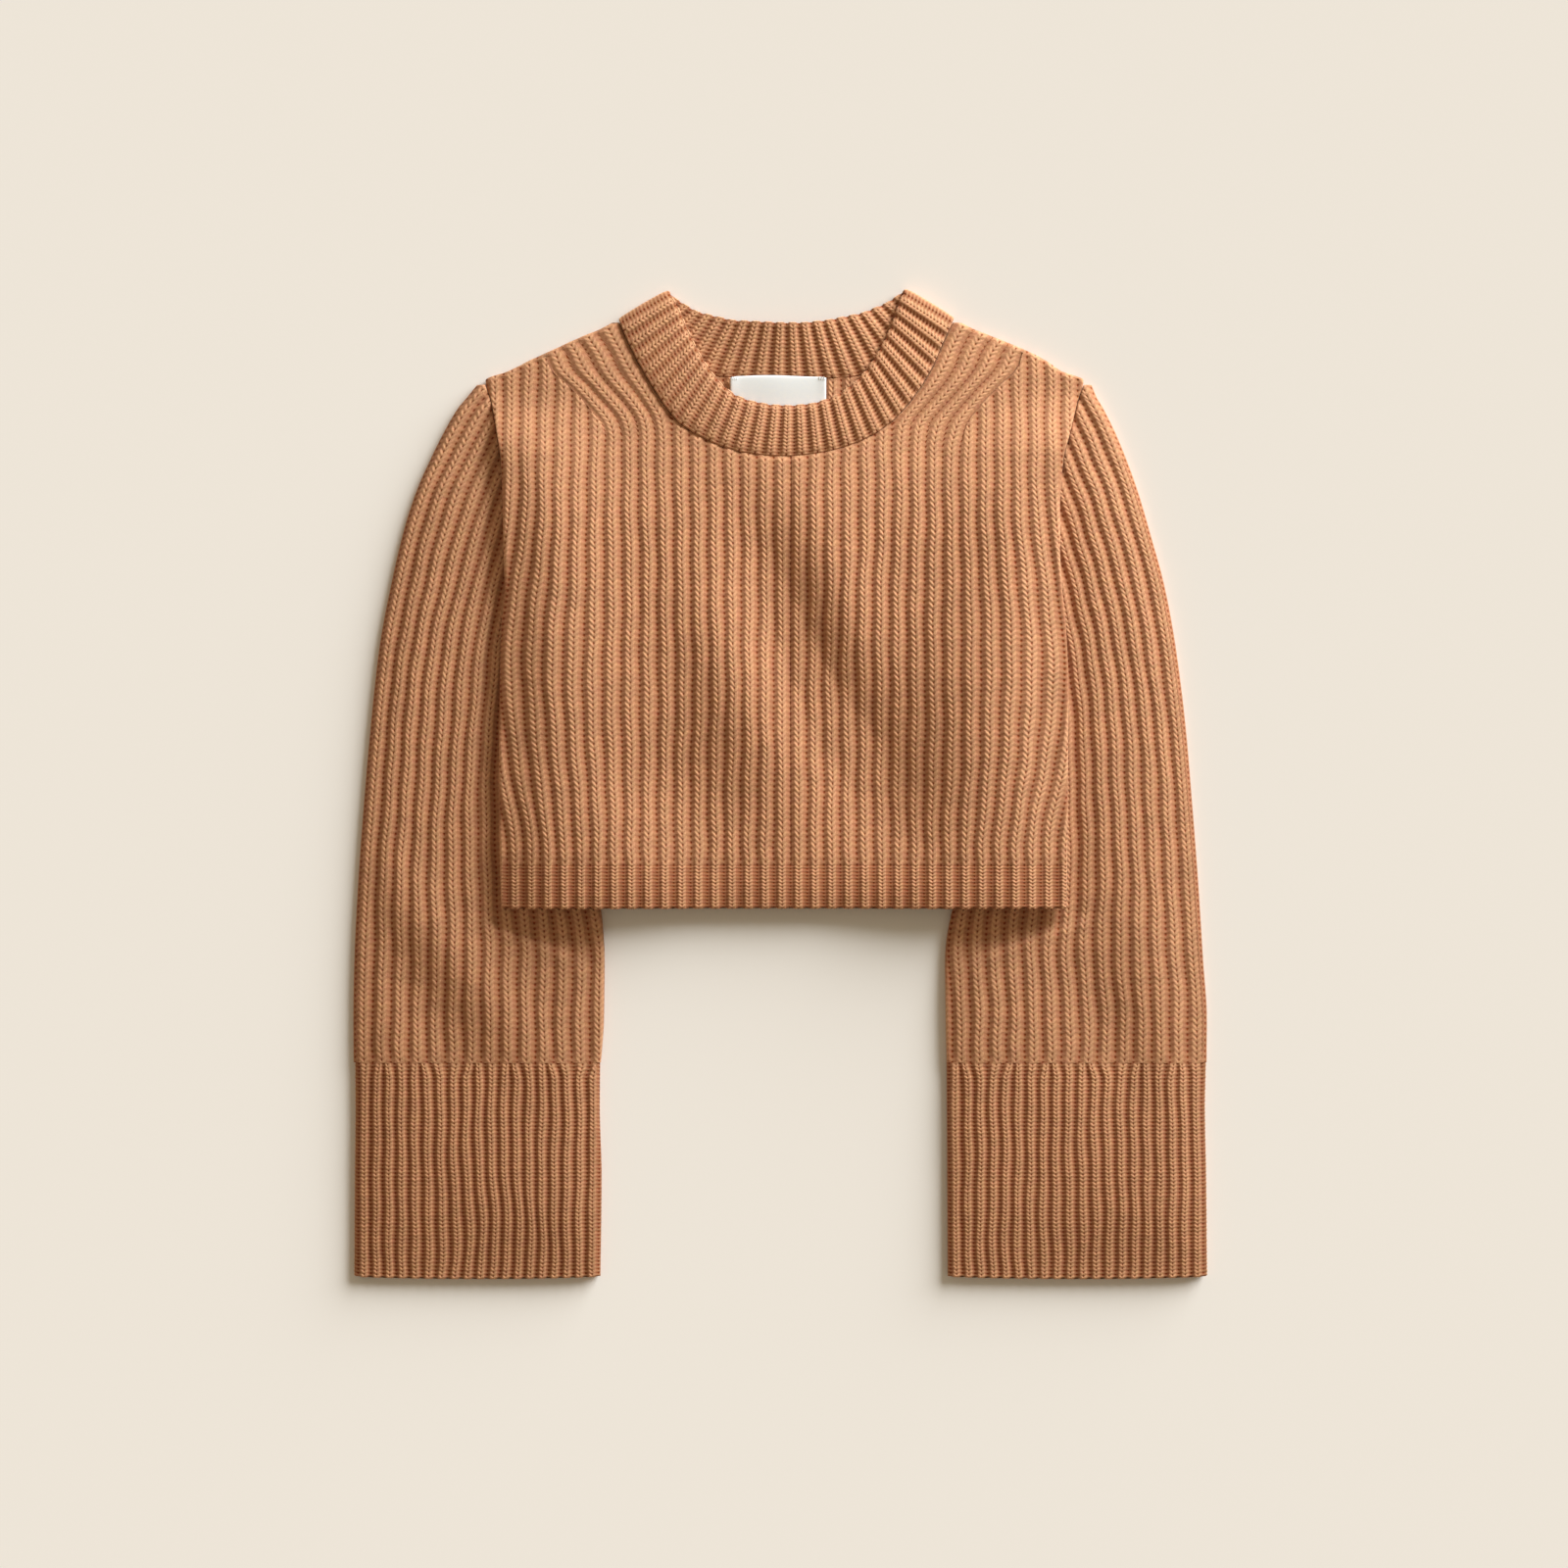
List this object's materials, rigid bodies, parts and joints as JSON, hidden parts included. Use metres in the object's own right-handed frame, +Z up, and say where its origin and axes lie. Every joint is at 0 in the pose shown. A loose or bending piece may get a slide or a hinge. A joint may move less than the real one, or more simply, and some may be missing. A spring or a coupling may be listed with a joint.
{
  "type": "cropped knit sweater",
  "caption": "Cropped crew-neck sweater in chunky rib knit with long sleeves and deep cuffs, lying flat on its back with its arms folded down.",
  "frame": {"origin": "centre of the garment's bounding box, on the surface that it lies on", "axes": "+Y from the hem to the collar, +Z up from the surface, through the back to the front of the garment, +X to the wearer's left"},
  "size_m": [0.5668, 0.6567, 0.0184],
  "materials": {
    "knit": "camel cashmere rib knit",
    "woven_label": "white woven satin, blank"
  },
  "bodies": {
    "root": {"front_panel": "knit", "back_panel": "knit", "hem_front": "knit", "hem_back": "knit", "sleeve_left": "knit", "sleeve_right": "knit", "cuff_left": "knit", "cuff_right": "knit", "neckband": "knit", "label": "woven_label"}
  },
  "joints": []
}
